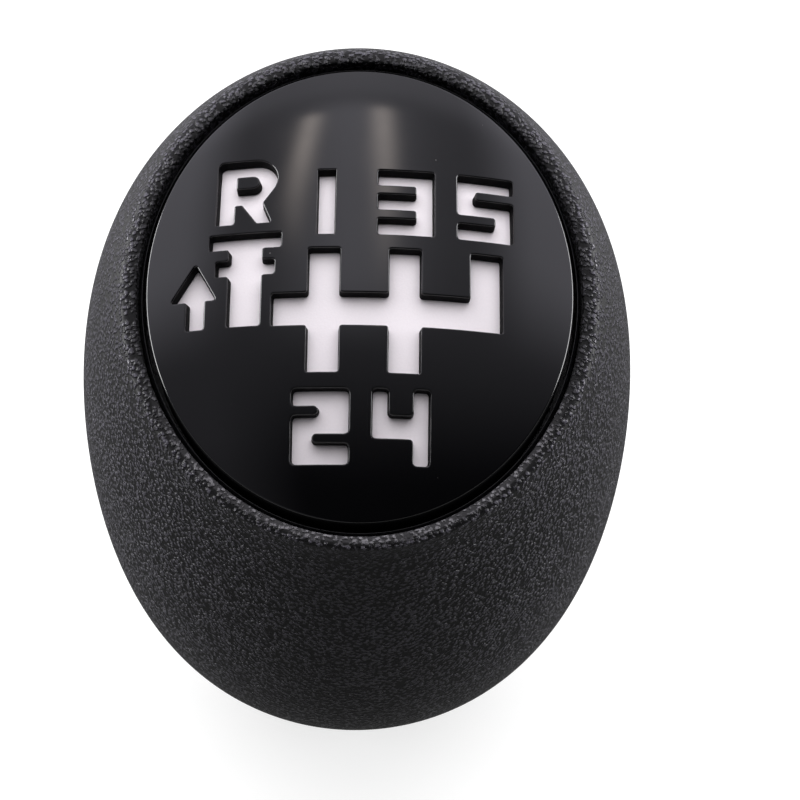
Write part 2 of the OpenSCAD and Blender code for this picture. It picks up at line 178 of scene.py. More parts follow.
def ring(half, front, rear, t):
    """Oval through a front and a rear point, which follows the opening to the side where t is small."""
    middle, reach = (front + rear) / 2, (rear - front) / 2
    x = FACE_C[0] * (1 - t) ** 2 + half * COS
    return np.stack([x, middle[..., 0] + reach[..., 0] * SIN, middle[..., 1] + reach[..., 1] * SIN], -1)


def outer(t):
    """Ring of the outer skin, from the lip at 0 to the base at 1."""
    t = np.broadcast_to(np.asarray(t, float), COS.shape)
    rear = bezier(REAR_LINE, t) - [TRIM, 0]
    return ring(bezier(FLANK_LINE, t) - TRIM, bezier(FRONT_LINE, t), rear, t)


def inner(t, depth):
    """Ring of the inner skin, this deep under the outer one."""
    t = np.broadcast_to(np.asarray(t, float), COS.shape)
    front, rear = slope(FRONT_LINE, t), slope(REAR_LINE, t)
    front = front / np.linalg.norm(front, axis=-1, keepdims=True)
    rear = rear / np.linalg.norm(rear, axis=-1, keepdims=True)
    front_step = np.stack([-front[..., 1], front[..., 0]], -1) * depth
    rear_step = np.stack([-rear[..., 1], rear[..., 0]], -1) * depth
    front, rear = bezier(FRONT_LINE, t) + front_step, bezier(REAR_LINE, t) - rear_step
    return ring(bezier(FLANK_LINE, t) - depth, front, rear, t)


def face_ring(grow, n):
    """Oval round the opening, grown by so much and n over the lip."""
    return on_face((OPEN_A + grow) * COS, (OPEN_B + grow) * SIN, np.full(SIDES, n))


def base_ring(r, z):
    return np.stack([r * COS, r * SIN, np.full(SIDES, z)], -1)


def make_grip():
    """The whole skin: wall of the recess, land with two round edges, outer skin, foot and inner skin.

    The attribute lip is 1 on the land, which is painted darker as shade, and rises to 2 on its crest at the front,
    which is painted pale as a highlight."""
    edge, foot, body_rings, near = 0.28, 0.6, 112, 0.01
    back = 0.5 + 0.5 * SIN
    crease = 0.55 + 0.35 * back**1.5
    first = crease / (np.linalg.norm(outer(near) - outer(0), axis=-1) / near)
    last = 1 - foot / (np.linalg.norm(outer(1) - outer(1 - near), axis=-1) / near)
    rings = [face_ring(0, n) for n in (-RECESS, -3, -2, -1.2, -0.7)]
    rings += corner(face_ring(0, -edge), face_ring(0, 0), face_ring(edge, 0), 6)
    first_land = len(rings) - 3
    crest_end = len(rings) + 2
    start = on_face((OPEN_A + LAND - crease) * COS, (OPEN_B + LAND - crease) * SIN, np.zeros(SIDES))
    rings += [rings[-1] * (1 - s) + start * s for s in (0.33, 0.66)]
    rings += corner(start, outer(0), outer(first), 8)
    last_land = len(rings) - 7
    rings += [outer(first + (last - first) * s) for s in np.linspace(0, 1, body_rings)[1:]]
    rings += corner(rings[-1], outer(1), base_ring(BASE_R - foot, BASE_Z), 6)[1:]
    rings += [base_ring(BASE_R - COVER_WALL, BASE_Z), base_ring(BASE_R - COVER_WALL, CAP_TOP + 0.05)]
    rings += [inner(0.9 - 0.05 * i, COVER_WALL) for i in range(13)]
    faces = tube_faces(len(rings), SIDES)
    piece = mesh_piece("grained_grip", np.concatenate(rings), faces, "knob", "grip_cover")
    # lip picks the colour: 0 body, 1 land with painted shade, 2 front crest with a painted highlight, full in
    # front and gone before the sides.
    lip = np.zeros((len(rings), SIDES))
    crest = np.clip(2.5 * (-SIN - 0.35), 0, 1)
    lip[first_land : last_land + 1] = 1
    lip[first_land - 3 : crest_end] = 1 + crest
    mask = piece.data.attributes.new("lip", "FLOAT", "POINT")
    mask.data.foreach_set("value", lip.ravel().astype(np.float32))
    return piece


grip = make_grip()

# ---------------------------------------------------------------- face disc with its windows

STROKE, FIG_W, FIG_H = 1.5, 4.7, 6.15
RISE = (FIG_H - STROKE) / 2
LOW_H = FIG_H - 0.17
LETTER_W, BOWL_R, COUNTER_R = 5.05, 1.9, 0.6
LEGEND_TURN = math.radians(-1)


def arc(x, y, r, start, end, steps=10):
    turn = np.radians(np.linspace(start, end, steps))
    return [(x + r * math.cos(a), y + r * math.sin(a)) for a in turn]


def moved(points, x, y):
    """An outline placed on the face, with the turn of the whole pattern."""
    c, s = math.cos(LEGEND_TURN), math.sin(LEGEND_TURN)
    return [((x + a) * c - (y + b) * s, (x + a) * s + (y + b) * c) for a, b in points]


def figure_1():
    return [(0, 0), (STROKE, 0), (STROKE, FIG_H), (0, FIG_H)]


def figure_3():
    w, h, s = FIG_W, FIG_H, STROKE
    return [
        (0, 0), (w, 0), (w, h), (0, h), (0, h - s), (w - s, h - s),
        (w - s, RISE + s), (0, RISE + s), (0, RISE), (w - s, RISE), (w - s, s), (0, s),
    ]  # fmt: skip


def figure_5():
    w, h, s = FIG_W, FIG_H, STROKE
    return [
        (0, 0), (w, 0), (w, RISE + s), (s, RISE + s), (s, h - s), (w, h - s),
        (w, h), (0, h), (0, RISE), (w - s, RISE), (w - s, s), (0, s),
    ]  # fmt: skip


def figure_2():
    """A block with one slot from the left and one from the right, each with a round end of radius r."""
    r = 0.37
    upper, lower = FIG_H * 0.686, FIG_H * 0.329
    left_end, right_end = FIG_W * 0.462 - r, FIG_W * (1 - 0.636) + r
    points = [(0, 0), (FIG_W, 0), (FIG_W, lower - r)]
    points += arc(right_end, lower, r, 270, 90)
    points += [(FIG_W, lower + r), (FIG_W, LOW_H), (0, LOW_H), (0, upper + r)]
    points += arc(left_end, upper, r, 90, -90)
    return points + [(0, upper - r)]


def figure_4():
    w, h, s = FIG_W, LOW_H, STROKE * 0.9
    low = FIG_H * 0.335
    top = low + STROKE * 1.2
    return [
        (0, low), (w - s, low), (w - s, 0), (w, 0), (w, h), (w - s, h), (w - s, top), (s, top), (s, h), (0, h),
    ]  # fmt: skip


def letter_r():
    notch = FIG_H * 0.291
    points = [(0, 0), (STROKE, 0), (STROKE, notch), (STROKE + 0.65, notch)]
    points += [(LETTER_W - 1.62, 0), (LETTER_W - 0.4, 0), (LETTER_W - 1.2, notch + 0.1)]
    points += arc(LETTER_W - BOWL_R, FIG_H - BOWL_R, BOWL_R, -40, 90)
    return points + arc(0.5, FIG_H - 0.5, 0.5, 90, 180, 6)


def letter_counter():
    """The island inside the bowl of the letter."""
    y = FIG_H - BOWL_R - 0.3
    right = LETTER_W - STROKE - COUNTER_R
    points = [(STROKE + 0.1, y - COUNTER_R)]
    return points + arc(right, y, COUNTER_R, -90, 90) + [(STROKE + 0.1, y + COUNTER_R)]


GATE_FOOT, GATE_LOW, GATE_BAR, GATE_TOP, GATE_LEFT = -8.58, -4.7, -1.95, 2.0, -7.17
GATE_HALF = 1.33
GATE_BARS = [(x - GATE_HALF, x + GATE_HALF) for x in (-2.93, 3.7, 10.41)]


def gate():
    """The shift gate: a bar across, with two slots both ways and one that only goes up."""
    (a, b), (c, d), (e, f) = GATE_BARS
    low, bar, top, foot = GATE_LOW, GATE_BAR, GATE_TOP, GATE_FOOT
    points = [(GATE_LEFT, low), (a, low), (a, foot), (b, foot), (b, low), (c, low), (c, foot), (d, foot), (d, low)]
    points += [(f, low), (f, top), (e, top), (e, bar), (d, bar), (d, top), (c, top), (c, bar), (b, bar)]
    return points + [(b, top), (a, top), (a, bar), (GATE_LEFT, bar)]


LEVER = [
    (-10.82, -4.61), (-8.07, -4.61), (-8.07, -0.2), (-7.0, -0.2), (-7.0, 1.14), (-8.07, 1.14), (-8.07, 2.19),
    (-6.5, 2.19), (-6.5, 3.56), (-12.5, 3.56), (-12.5, 2.19), (-10.82, 2.19), (-10.82, 1.14),
    (-11.9, 1.14), (-11.9, -0.2), (-10.82, -0.2),
]  # fmt: skip
ARROW = [
    (-14.22, -4.64), (-12.72, -4.64), (-12.72, -2.17), (-11.72, -2.17), (-13.57, 1.1), (-15.6, -2.17),
    (-14.22, -2.17),
]  # fmt: skip
# Each window's outline and the radius of its corners.
WINDOWS = [
    (moved(letter_r(), -12.05, 4.5), 0.22),
    (moved(figure_1(), -3.63, 3.27), 0.12),
    (moved(figure_3(), 1.38, 3.27), 0.25),
    (moved(figure_5(), 8.0, 3.25), 0.3),
    (moved(figure_2(), -5.35, -15.87), 0.45),
    (moved(figure_4(), 1.15, -15.85), 0.38),
    (moved(gate(), 0, 0), 0.25),
    (moved(LEVER, 0, 0), 0.25),
    (moved(ARROW, 0, 0), 0.22),
]
ISLAND = moved(letter_counter(), -12.05, 4.5)


def rounded(points, r, steps=5):
    """A closed outline with its corners rounded, where the corner turns by more than 20 degrees."""
    points = np.asarray(points, float)
    out = []
    n = len(points)
    for i in range(n):
        p, q, s = points[i - 1], points[i], points[(i + 1) % n]
        a, b = p - q, s - q
        la, lb = np.linalg.norm(a), np.linalg.norm(b)
        if min(la, lb) < 1e-6:
            continue
        a, b = a / la, b / lb
        angle = math.acos(max(-1.0, min(1.0, float(a @ b))))
        if angle > math.radians(160):
            out.append(q)
            continue
        cut = min(r / math.tan(angle / 2), 0.45 * la, 0.45 * lb)
        for w in np.linspace(0, 1, steps):
            out.append((1 - w) ** 2 * (q + a * cut) + 2 * w * (1 - w) * q + w * w * (q + b * cut))
    return np.array(out)


def spaced(points, step):
    """The same outline with long edges cut into pieces no longer than step."""
    out = []
    for i, p in enumerate(points):
        q = points[(i + 1) % len(points)]
        n = max(1, math.ceil(np.linalg.norm(q - p) / step))
        out += [p + (q - p) * k / n for k in range(n)]
    return np.array(out)


def outward(points):
    """Unit directions out of a counter-clockwise outline, and how far they lengthen at its corners."""
    before = points - np.roll(points, 1, axis=0)
    after = np.roll(points, -1, axis=0) - points
    normals = []
    for edge in (before, after):
        edge = edge / np.linalg.norm(edge, axis=1, keepdims=True)
        normals.append(np.stack([edge[:, 1], -edge[:, 0]], -1))
    total = normals[0] + normals[1]
    total = total / np.linalg.norm(total, axis=1, keepdims=True)
    stretch = 1 / np.clip((total * normals[0]).sum(1), 0.5, 1)
    return total, stretch


def inside(points, outline):
    """Which points lie inside the outline, by the even-odd rule."""
    x, y = points[:, 0], points[:, 1]
    hit = np.zeros(len(points), bool)
    for i, (ax, ay) in enumerate(outline):
        bx, by = outline[(i + 1) % len(outline)]
        if ay == by:
            continue
        cross = (ay > y) != (by > y)
        hit ^= cross & (x < ax + (y - ay) / (by - ay) * (bx - ax))
    return hit


def filled(outer_line, holes, islands, pitch):
    """Triangles over an outline with holes and islands in them, with a grid of points inside."""
    lines = [outer_line, *holes, *islands]
    points = np.concatenate(lines)
    edges, at = [], 0
    for line in lines:
        edges += [(at + i, at + (i + 1) % len(line)) for i in range(len(line))]
        at += len(line)
    low, high = outer_line.min(0), outer_line.max(0)
    grid = np.stack(np.meshgrid(np.arange(low[0], high[0], pitch), np.arange(low[1], high[1], pitch)), -1)
    grid = grid.reshape(-1, 2) + [[pitch / 3, pitch / 4]]
    gap = np.full(len(grid), np.inf)
    for line in lines:
        for chunk in np.array_split(line, max(1, len(line) // 40)):
            gap = np.minimum(gap, np.linalg.norm(grid[:, None] - chunk[None], axis=-1).min(1))
    grid = grid[gap > pitch * 0.45]
    everything = [Vector(p) for p in np.concatenate([points, grid])]
    verts, _, faces, *_ = delaunay_2d_cdt(everything, edges, [], 0, 1e-7)
    verts = np.array([tuple(v) for v in verts])
    centres = np.array([verts[list(f)].mean(0) for f in faces])
    keep = inside(centres, outer_line)
    for hole in holes:
        keep &= ~inside(centres, hole)
    for island in islands:
        keep |= inside(centres, island)
    return verts, [f for f, k in zip(faces, keep) if k]


def oval(a, b):
    return np.stack([a * COS, b * SIN], -1)


def offset(line, d):
    """The outline moved outward by d."""
    out, stretch = outward(line)
    return line + out * (stretch * d)[:, None]


def lower(line, d):
    """Foot of a window's wall, which leans in along the dome and by the mould's draft."""
    return offset(line, d) * (1 - 0.5 * DISC_WALL / DOME_R)


def underside(u, v):
    return dome(u, v, DISC_WALL)


def skirt_foot(u, v):
    return np.full(len(u), DISC_LOW)


def make_disc():
    """The cap, and the numbers of its faces that aren't glossy: the walls of the windows and of the rim."""
    points, faces, normals, walls = [], [], [], []

    def add(block, block_faces, block_normals):
        at = sum(len(p) for p in points)
        points.append(block)
        faces.extend(tuple(at + i for i in f) for f in block_faces)
        normals.extend([[block_normals[i] for i in f] for f in block_faces])

    def edge_band(line, sign, r, low, bottom, matte=1):
        """Rounded top edge along an outline and the wall down to another one.

        sign is 1 where the disc lies outside the outline, and -1 inside. The last matte bands aren't glossy."""
        out, stretch = outward(line)
        blocks, bands = [], []
        for turn in np.radians(np.linspace(0, 90, 6)):
            flat = line + out * (stretch * sign * r * (1 - math.sin(turn)))[:, None]
            depth = r * (1 - math.cos(turn))
            blocks.append(on_face(flat[:, 0], flat[:, 1], dome(flat[:, 0], flat[:, 1]) - depth))
            side = -sign * (out[:, :1] * FACE_U + out[:, 1:] * FACE_V)
            bands.append(dome_normal(flat[:, 0], flat[:, 1]) * math.cos(turn) + side * math.sin(turn))
        blocks.append(on_face(low[:, 0], low[:, 1], bottom(low[:, 0], low[:, 1])))
        bands.append(-sign * (out[:, :1] * FACE_U + out[:, 1:] * FACE_V))
        n = len(line)
        quads = []
        for i in range(len(blocks) - 1):
            for j in range(n):
                k = (j + 1) % n
                quad = (i * n + j, i * n + k, (i + 1) * n + k, (i + 1) * n + j)
                quads.append(quad if sign > 0 else quad[::-1])
        walls.extend(range(len(faces) + len(quads) - matte * n, len(faces) + len(quads)))
        add(np.concatenate(blocks), quads, np.concatenate(bands))

    edge, window_edge, draft = 0.18, 0.13, 0.08
    top_pitch, low_pitch = 0.6, 1.2
    rim = oval(DISC_A, DISC_B)
    holes = [spaced(rounded(outline, r), 0.5) for outline, r in WINDOWS]
    island = spaced(rounded(ISLAND, 0.15), 0.4)
    top_holes = [offset(h, window_edge) for h in holes]
    top, triangles = filled(offset(rim, -edge), top_holes, [offset(island, -window_edge)], top_pitch)
    u, v = top.T
    add(on_face(u, v, dome(u, v)), triangles, dome_normal(u, v))
    low_holes = [lower(h, -draft) for h in holes]
    low_island = lower(island, draft)
    for h, low in zip(holes, low_holes):
        edge_band(h, 1, window_edge, low, underside)
    edge_band(island, -1, window_edge, low_island, underside)
    edge_band(rim, -1, edge, rim, skirt_foot, matte=4)
    skirt = oval(DISC_A - DISC_SKIRT, DISC_B - DISC_SKIRT)
    low, flats = filled(skirt, low_holes, [low_island], low_pitch)
    u, v = low.T
    # The normals of hidden faces are left to Blender, which a zero asks for.
    add(on_face(u, v, underside(u, v)), [f[::-1] for f in flats], np.zeros((len(low), 3)))
    (a, b), (u, v) = rim.T, skirt.T
    loops = [on_face(a, b, skirt_foot(a, b)), on_face(u, v, skirt_foot(u, v)), on_face(u, v, underside(u, v))]
    quads = []
    for i in range(len(loops) - 1):
        for j in range(SIDES):
            k = (j + 1) % SIDES
            quads.append((i * SIDES + j, (i + 1) * SIDES + j, (i + 1) * SIDES + k, i * SIDES + k))
    add(np.concatenate(loops), quads, np.zeros((len(loops) * SIDES, 3)))
    cloud, faces = welded(np.concatenate(points), faces)
    piece = mesh_piece("face_cap", cloud, faces, "knob", "face_disc")
    piece.data.normals_split_custom_set([tuple(n) for face in normals for n in face])
    return piece, walls


disc, disc_walls = make_disc()

# ---------------------------------------------------------------- bezel ring in the groove


def make_bezel():
    """Ring against the wall of the recess, with a fine crest on its inner side and a top that falls outward."""
    profile = [(-0.1, -RECESS), (-0.1, -1.35), (-0.34, -0.76), (-0.37, -0.72), (-0.41, -0.71), (-0.44, -0.75)]
    profile += [(-0.45, -0.82), (-0.45, -RECESS)]
    rings = [face_ring(grow, n) for grow, n in profile]
    faces = [f[::-1] for f in tube_faces(len(rings), SIDES)]
    return mesh_piece("bezel_crest", np.concatenate(rings), faces, "knob", "bezel_ring")


bezel = make_bezel()

# ---------------------------------------------------------------- spring of the collar


def make_spring():
    """Coil with closed ends, which the lifted collar presses together under its seat.

    wire and mid are the radii of the wire and of the coil, and closed is the share of a turn at each end."""
    low, high = (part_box("lift_spring")[i][2] * 1000 for i in (0, 1))
    turns, closed, wire, mid, sides, steps = 5.5, 0.75, 0.5, 7.4, 12, 40
    turn = np.linspace(0, turns, int(turns * steps) + 1)
    span = high - low - 2 * wire
    end_rise = 2 * wire * closed
    level = np.interp(turn, (0, closed, turns - closed, turns), (0, end_rise, span - end_rise, span))
    rings = []
    for a, rise in zip(2 * np.pi * turn, level + low + wire):
        w = np.linspace(0, 2 * np.pi, sides, endpoint=False)
        reach = mid + wire * np.cos(w)
        rings.append(np.stack([reach * math.cos(a), reach * math.sin(a), rise + wire * np.sin(w)], -1))
    faces = [f for f in tube_faces(len(rings), sides) if max(f) - min(f) < 2 * sides]
    end = (len(rings) - 1) * sides
    faces += [tuple(range(sides)), tuple(range(end + sides - 1, end - 1, -1))]
    piece = mesh_piece("collar_spring", np.concatenate(rings), faces, "knob", "lift_spring")
    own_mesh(piece)
    return piece


spring = make_spring()

# ---------------------------------------------------------------- camera

ELEVATION, DISTANCE = math.radians(53), 0.18
TARGET = Vector((0, 0, 0.0433))
camera = bpy.data.objects.new("camera", bpy.data.cameras.new("camera"))
bpy.context.collection.objects.link(camera)
camera.location = TARGET + Vector((0, -math.cos(ELEVATION), math.sin(ELEVATION))) * DISTANCE
camera.rotation_euler = (math.radians(90) - ELEVATION, 0, 0)
camera.data.sensor_width = 36
camera.data.lens = 82.62
camera.data.shift_x = 0.05625
camera.data.shift_y = -0.01375
camera.data.clip_start = 0.01
bpy.context.scene.camera = camera

# ---------------------------------------------------------------- materials
# Texture scales are per metre, and the depths of bumps are in metres.


class Tree:
    """A short way to place nodes and links in one material or world."""

    def __init__(self, owner):
        owner.use_nodes = True
        self.tree = owner.node_tree
        self.tree.nodes.clear()
        self.place = self.node("ShaderNodeTexCoord").outputs["Object"]

    def node(self, kind, values=None, links=None, **settings):
        made = self.tree.nodes.new(kind)
        for key, value in settings.items():
            setattr(made, key, value)
        for key, value in (values or {}).items():
            made.inputs[key].default_value = value
        for key, source in (links or {}).items():
            self.tree.links.new(source, made.inputs[key])
        return made

    def noise(self, scale, detail, rough):
        values = {"Scale": scale, "Detail": detail, "Roughness": rough}
        return self.node("ShaderNodeTexNoise", values, {"Vector": self.place}).outputs["Fac"]

    def voronoi(self, scale):
        made = self.node("ShaderNodeTexVoronoi", {"Scale": scale}, {"Vector": self.place})
        return made.outputs["Distance"]

    def maths(self, operation, *terms):
        made = self.node("ShaderNodeMath", operation=operation)
        for socket, term in zip(made.inputs, terms):
            if isinstance(term, (int, float)):
                socket.default_value = term
            else:
                self.tree.links.new(term, socket)
        return made.outputs[0]

    def spread(self, source, low, high, to_low, to_high, smooth=False):
        """The source from low to high, mapped to a new range and held at its ends."""
        values = {"From Min": low, "From Max": high, "To Min": to_low, "To Max": to_high}
        made = self.node("ShaderNodeMapRange", values, {"Value": source}, clamp=True)
        if smooth:
            made.interpolation_type = "SMOOTHSTEP"
        return made.outputs["Result"]

    def mixed(self, factor, low, high):
        """The first colour where the factor is 0 and the second where it is 1."""
        made = self.node("ShaderNodeMix", data_type="RGBA", links={"Factor": factor})
        sockets = [s for s in made.inputs if s.type == "RGBA"]
        for socket, colour in zip(sockets, (low, high)):
            if isinstance(colour, tuple):
                socket.default_value = (*colour, 1)
            else:
                self.tree.links.new(colour, socket)
        return next(s for s in made.outputs if s.type == "RGBA")

    def bump(self, height, distance, strength=1.0):
        values = {"Strength": strength, "Distance": distance}
        return self.node("ShaderNodeBump", values, {"Height": height}).outputs["Normal"]

    def surface(self, values, links):
        shader = self.node("ShaderNodeBsdfPrincipled", values, links)
        self.node("ShaderNodeOutputMaterial", links={"Surface": shader.outputs["BSDF"]})


def material(name):
    made = bpy.data.materials.new(name)
    return made, Tree(made)


def grained_material():
    """Soft plastic with a fine raised grain, its pits partly painted dark as shade and its peaks partly painted
    pale as a highlight, with painted shade on the land and a painted highlight on the land's crest in front.
    """
    made, t = material("grained_black")
    pebbles = t.maths("MULTIPLY", t.voronoi(2600.0), -1.0)
    worms = t.noise(3300.0, 1.0, 0.5)
    raised = t.maths("ADD", pebbles, t.maths("MULTIPLY", worms, 0.9))
    raised = t.spread(raised, -0.2, 0.24, 0.0, 1.0, smooth=True)
    broad = t.spread(t.noise(70.0, 3.0, 0.5), 0.3, 0.7, 0.7, 1.0)
    shade = t.maths("MULTIPLY", raised, broad)
    lip = t.node("ShaderNodeAttribute", attribute_name="lip").outputs["Fac"]
    # Dark pits and pale peaks of the grain: partly the plastic's own tone, partly painted shade in the pits and a
    # painted highlight on the peaks.
    body = t.mixed(shade, (0.0005, 0.0004, 0.0009), (0.088, 0.083, 0.104))
    # Painted shade: the land by the groove is painted darker than the body.
    land_painted_shade = t.mixed(shade, (0.0008, 0.0008, 0.001), (0.04, 0.038, 0.045))
    # Painted highlight: the crest in front is painted pale, where its round edge catches the light.
    crest = t.mixed(shade, (0.022, 0.021, 0.024), (0.16, 0.153, 0.17))
    t.surface(
        {"IOR": 1.48, "Specular IOR Level": 0.24, "Sheen Weight": 0.02, "Sheen Roughness": 0.35},
        {
            "Base Color": t.mixed(t.maths("SUBTRACT", lip, 1.0), t.mixed(lip, body, land_painted_shade), crest),
            "Roughness": t.spread(raised, 0.0, 1.0, 0.5, 0.24),
            "Normal": t.bump(raised, 0.0002, 1.0),
        },
    )
    return made


def gloss_material():
    """Polished black plastic with faint haze and a little dust."""
    made, t = material("gloss_black")
    haze = t.noise(130.0, 4.0, 0.6)
    speck = t.spread(t.voronoi(520.0), 0.02, 0.045, 1.0, 0.0)
    few = t.spread(t.noise(700.0, 0.0, 0.5), 0.6, 0.62, 0.0, 1.0)
    dust = t.maths("MULTIPLY", speck, few)
    t.surface(
        {"IOR": 1.49},
        {
            "Base Color": t.mixed(dust, (0.0009, 0.0009, 0.0012), (0.09, 0.085, 0.085)),
            "Roughness": t.maths("ADD", t.spread(haze, 0.3, 0.7, 0.07, 0.13), t.maths("MULTIPLY", dust, 0.5)),
            "Normal": t.bump(haze, 0.000004, 0.2),
        },
    )
    return made


def legend_material():
    """White plastic with a faint violet cast and a fine satin grain."""
    made, t = material("legend_white")
    fine = t.noise(6200.0, 3.0, 0.65)
    broad = t.noise(150.0, 2.0, 0.5)
    shade = t.maths("ADD", t.maths("MULTIPLY", fine, 0.7), t.maths("MULTIPLY", broad, 0.3))
    t.surface(
        {"IOR": 1.46, "Specular IOR Level": 0.3},
        {
            "Base Color": t.mixed(shade, (0.76, 0.705, 0.755), (0.87, 0.815, 0.865)),
            "Roughness": t.spread(broad, 0.3, 0.7, 0.48, 0.6),
            "Normal": t.bump(fine, 0.00002, 0.5),
        },
    )
    return made


def moulded(name, dark, light, rough, grain=2600.0, depth=0.00002, specular=0.5):
    """Moulded plastic or rubber with a fine spark-eroded texture, and a range of roughness."""
    made, t = material(name)
    fine = t.noise(grain, 4.0, 0.6)
    broad = t.noise(170.0, 3.0, 0.5)
    shade = t.maths("ADD", t.maths("MULTIPLY", fine, 0.5), t.maths("MULTIPLY", broad, 0.5))
    t.surface(
        {"Specular IOR Level": specular},
        {
            "Base Color": t.mixed(shade, dark, light),
            "Roughness": t.spread(fine, 0.3, 0.7, rough[0], rough[1]),
            "Normal": t.bump(fine, depth, 0.6),
        },
    )
    return made


def turned(name, dark, light, rough, lines_scale=450.0):
    """Turned or drawn metal: fine lines round the lever's axis, with slight stains."""
    made, t = material(name)
    lines = t.node(
        "ShaderNodeTexWave",
        {"Scale": lines_scale, "Distortion": 1.2, "Detail": 3.0, "Detail Scale": 2.0},
        {"Vector": t.place},
        wave_type="BANDS",
        bands_direction="Z",
    ).outputs["Fac"]
    broad = t.noise(220.0, 4.0, 0.6)
    shade = t.maths("ADD", t.maths("MULTIPLY", lines, 0.35), t.maths("MULTIPLY", broad, 0.65))
    t.surface(
        {"Metallic": 1.0},
        {
            "Base Color": t.mixed(shade, dark, light),
            "Roughness": t.spread(shade, 0.25, 0.75, rough[0], rough[1]),
            "Normal": t.bump(lines, 0.000006, 0.5),
        },
    )
    return made


MATERIALS = {
    "grained_plastic": grained_material(),
    "gloss_black": gloss_material(),
    "legend_white": legend_material(),
    "bezel_black": moulded("bezel_black", (0.002, 0.002, 0.0025), (0.006, 0.006, 0.007), (0.25, 0.35)),
    "core_plastic": moulded("core_grey", (0.03, 0.03, 0.033), (0.06, 0.06, 0.065), (0.5, 0.65)),
    "bond_foam": moulded("bond_foam", (0.5, 0.5, 0.46), (0.66, 0.66, 0.6), (0.8, 0.95), 1800.0, 0.00006, 0.2),
    "insert_steel": turned("insert_steel", (0.42, 0.42, 0.44), (0.6, 0.6, 0.62), (0.24, 0.38)),
    "damper_rubber": moulded("damper_rubber", (0.01, 0.01, 0.011), (0.024, 0.024, 0.026), (0.7, 0.85), 3000.0),
    "spring_steel": turned("spring_steel", (0.34, 0.34, 0.36), (0.55, 0.55, 0.58), (0.22, 0.36)),
    "cap_plastic": moulded("cap_black", (0.014, 0.014, 0.015), (0.034, 0.034, 0.037), (0.42, 0.58)),
    "screw_zinc": turned("screw_zinc", (0.45, 0.46, 0.47), (0.68, 0.7, 0.71), (0.25, 0.42), 300.0),
    "guide_aluminium": turned("guide_aluminium", (0.5, 0.51, 0.53), (0.72, 0.73, 0.75), (0.28, 0.4)),
    "bush_acetal": moulded("bush_acetal", (0.5, 0.48, 0.42), (0.62, 0.6, 0.54), (0.35, 0.5), 2200.0),
    "collar_plastic": moulded(
        "collar_black", (0.008, 0.008, 0.009), (0.022, 0.0215, 0.024), (0.4, 0.55), 2300.0, 0.00004
    ),
    "sleeve_steel": turned("sleeve_steel", (0.4, 0.41, 0.43), (0.62, 0.63, 0.65), (0.18, 0.3)),
}
# The material of each CAD node that no finer piece replaces.
NODE_SLOT = {
    "knob_core": "core_plastic",
    "legend_plate": "legend_white",
    "adhesive_pad": "bond_foam",
    "lever_socket": "insert_steel",
    "damper_bush": "damper_rubber",
    "socket_clip": "spring_steel",
    "base_cap": "cap_plastic",
    "base_screws": "screw_zinc",
    "guide_tube": "guide_aluminium",
    "sleeve_bush": "bush_acetal",
    "stop_buffer": "damper_rubber",
    "spring_seat": "screw_zinc",
    "lift_sleeve": "sleeve_steel",
    "lift_ring": "collar_plastic",
    "stop_ring": "spring_steel",
}


def dress(piece, slot_name):
    piece.data.materials.clear()
    piece.data.materials.append(MATERIALS[slot_name])


dress(grip, "grained_plastic")
dress(disc, "gloss_black")
window_wall = moulded("window_wall", (0.001, 0.001, 0.0012), (0.003, 0.003, 0.0035), (0.7, 0.85), specular=0.08)
disc.data.materials.append(window_wall)
for number in disc_walls:
    disc.data.polygons[number].material_index = 1
dress(bezel, "bezel_black")
dress(spring, "spring_steel")
for node_name, slot_name in NODE_SLOT.items():
    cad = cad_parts[node_name]
    for place in cad.material_slots:
        place.material = MATERIALS[slot_name]

# ---------------------------------------------------------------- floor, light and background


def make_floor():
    """White ground that keeps the shadow. In reflections it carries a painted shadow, dim near the object and
    white further off.
    """
    mesh = bpy.data.meshes.new("floor")
    size = 3.0
    mesh.from_pydata([(-size, -size, 0), (size, -size, 0), (size, size, 0), (-size, size, 0)], [], [(0, 1, 2, 3)])
    floor = bpy.data.objects.new("floor", mesh)
    bpy.context.collection.objects.link(floor)
    made, t = material("floor")
    path = t.node("ShaderNodeLightPath").outputs
    away = t.node("ShaderNodeVectorMath", links={0: t.place}, operation="LENGTH").outputs["Value"]
    plain = t.node("ShaderNodeBsdfDiffuse", {"Color": (0.08, 0.08, 0.08, 1)}).outputs[0]
    lit = t.node("ShaderNodeBsdfDiffuse", {"Color": (0.42, 0.42, 0.42, 1)}).outputs[0]
    white = t.node("ShaderNodeEmission", {"Color": (1, 1, 1, 1), "Strength": 0.62}).outputs[0]
    # Painted shadow in reflections: the floor's glow is dim near the object and full further off.
    far = t.spread(away, 0.06, 0.4, 0.17, 1.0, smooth=True)
    mirrored = t.node("ShaderNodeEmission", {"Color": (1, 1, 1, 1)}, {"Strength": far}).outputs[0]
    seen = t.node("ShaderNodeAddShader", links={0: lit, 1: white}).outputs[0]
    either = t.maths("MAXIMUM", path["Is Glossy Ray"], path["Is Transmission Ray"])
    bounced = t.node("ShaderNodeMixShader", links={0: either, 1: plain, 2: mirrored}).outputs[0]
    choice = t.node("ShaderNodeMixShader", links={0: path["Is Camera Ray"], 1: bounced, 2: seen}).outputs[0]
    t.node("ShaderNodeOutputMaterial", links={"Surface": choice})
    mesh.materials.append(made)


SKY = 3.3
STREAK_WIDTH = 0.05


